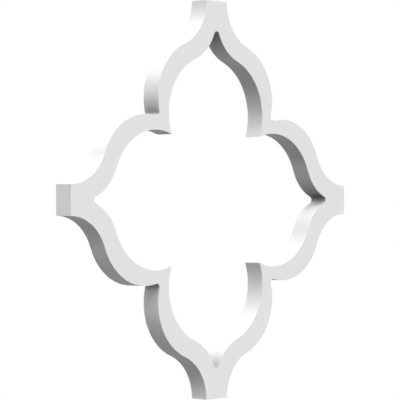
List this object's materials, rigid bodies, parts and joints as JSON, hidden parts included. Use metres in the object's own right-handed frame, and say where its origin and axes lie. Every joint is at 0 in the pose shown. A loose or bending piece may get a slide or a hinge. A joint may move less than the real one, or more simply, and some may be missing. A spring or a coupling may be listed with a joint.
{
  "type": "fretwork panel",
  "caption": "Square ogee quatrefoil fretwork panel: an S-curved strip round an open window, with lobed arms and flat ends for butting in a run, routed whole from white cellular PVC sheet.",
  "frame": {"origin": "centre of the panel, halfway through its thickness", "axes": "+X to the right end and +Z to the top end as the panel hangs, +Y out of the back face, so the front faces -Y"},
  "size_m": [0.1874, 0.0096, 0.1874],
  "materials": {
    "cellular_pvc": "white, smooth sheet face with a routed edge"
  },
  "bodies": {
    "root": {"fretwork_panel": "cellular_pvc"}
  },
  "joints": []
}
